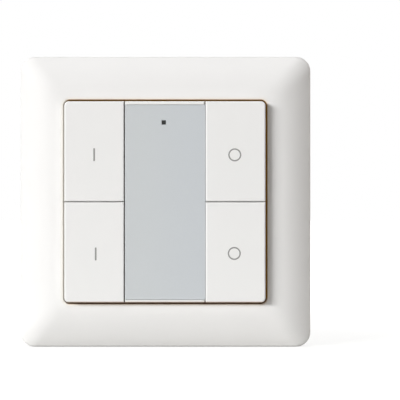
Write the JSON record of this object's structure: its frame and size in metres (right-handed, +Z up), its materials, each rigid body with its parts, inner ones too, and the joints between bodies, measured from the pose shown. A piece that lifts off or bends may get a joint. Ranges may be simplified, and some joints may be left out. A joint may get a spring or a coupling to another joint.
{
  "type": "pushbutton panel",
  "caption": "Square wall pushbutton panel with a crowned frame, hinged keys on both sides of a flat grey middle panel, a clip-in control unit and a slotted wall plate.",
  "frame": {"origin": "centre of the wall plate's back face, on the wall", "axes": "+Y into the wall, so the front faces -Y, +Z up and +X to the right seen from the front"},
  "size_m": [0.0804, 0.0145, 0.0804],
  "materials": {
    "frame_white": "satin moulded plastic",
    "plate_white": "fine moulded plastic",
    "case_white": "fine moulded plastic",
    "carrier_white": "satin moulded plastic",
    "key_white": "satin moulded plastic with printed signs",
    "panel_grey": "fine matte grey",
    "indicator_dark": "smoked clear plastic",
    "board_green": "solder mask",
    "shield_metal": "tinned sheet",
    "led_clear": "clear cast",
    "cell_metal": "plated can",
    "contact_brass": "spring brass",
    "switch_black": "moulded black",
    "plunger_black": "moulded black",
    "screw_steel": "zinc plated"
  },
  "bodies": {
    "panel": {"cover_frame": "frame_white", "wall_plate": "plate_white", "rear_case": "case_white", "key_carrier": "carrier_white", "centre_panel": "panel_grey", "light_pipe": "indicator_dark", "circuit_board": "board_green", "radio_module": "shield_metal", "indicator_led": "led_clear", "coin_cell": "cell_metal", "contact_positive": "contact_brass", "contact_negative": "contact_brass", "case_screws": "screw_steel", "switch_upper_left": "switch_black", "switch_lower_left": "switch_black", "switch_upper_right": "switch_black", "switch_lower_right": "switch_black"},
    "key_upper_left": {"button_upper_left": "key_white"},
    "plunger_upper_left": {"plunger_upper_left": "plunger_black"},
    "key_lower_left": {"button_lower_left": "key_white"},
    "plunger_lower_left": {"plunger_lower_left": "plunger_black"},
    "key_upper_right": {"button_upper_right": "key_white"},
    "plunger_upper_right": {"plunger_upper_right": "plunger_black"},
    "key_lower_right": {"button_lower_right": "key_white"},
    "plunger_lower_right": {"plunger_lower_right": "plunger_black"},
    "battery_cover": {"battery_cover": "case_white"}
  },
  "joints": [
    {"name": "key_upper_left_tilt", "type": "hinge", "parent": "panel", "child": "key_upper_left", "pos_m": [-0.01388, -0.0098, 0.0138], "axis": [0, 0, -1], "range_deg": [0, 3.15], "stiffness_Nm_per_rad": 0.18, "springref_deg": -1.15},
    {"name": "plunger_upper_left_travel", "type": "slide", "parent": "panel", "child": "plunger_upper_left", "axis": [0, 1, 0], "range_m": [0, 0.0003]},
    {"name": "key_lower_left_tilt", "type": "hinge", "parent": "panel", "child": "key_lower_left", "pos_m": [-0.01388, -0.0098, -0.0138], "axis": [0, 0, -1], "range_deg": [0, 3.15], "stiffness_Nm_per_rad": 0.18, "springref_deg": -1.15},
    {"name": "plunger_lower_left_travel", "type": "slide", "parent": "panel", "child": "plunger_lower_left", "axis": [0, 1, 0], "range_m": [0, 0.0003]},
    {"name": "key_upper_right_tilt", "type": "hinge", "parent": "panel", "child": "key_upper_right", "pos_m": [0.01388, -0.0098, 0.0138], "axis": [0, 0, 1], "range_deg": [0, 3.15], "stiffness_Nm_per_rad": 0.18, "springref_deg": -1.15},
    {"name": "plunger_upper_right_travel", "type": "slide", "parent": "panel", "child": "plunger_upper_right", "axis": [0, 1, 0], "range_m": [0, 0.0003]},
    {"name": "key_lower_right_tilt", "type": "hinge", "parent": "panel", "child": "key_lower_right", "pos_m": [0.01388, -0.0098, -0.0138], "axis": [0, 0, 1], "range_deg": [0, 3.15], "stiffness_Nm_per_rad": 0.18, "springref_deg": -1.15},
    {"name": "plunger_lower_right_travel", "type": "slide", "parent": "panel", "child": "plunger_lower_right", "axis": [0, 1, 0], "range_m": [0, 0.0003]},
    {"name": "battery_cover_twist", "type": "hinge", "parent": "panel", "child": "battery_cover", "pos_m": [0, -0.0009, 0], "axis": [0, 1, 0], "range_deg": [0, 35]}
  ],
  "couplings": [
    {"joint": "plunger_upper_left_travel", "follows": "key_upper_left_tilt", "m_per_rad": 0.0054375},
    {"joint": "plunger_lower_left_travel", "follows": "key_lower_left_tilt", "m_per_rad": 0.0054375},
    {"joint": "plunger_upper_right_travel", "follows": "key_upper_right_tilt", "m_per_rad": 0.0054375},
    {"joint": "plunger_lower_right_travel", "follows": "key_lower_right_tilt", "m_per_rad": 0.0054375}
  ]
}
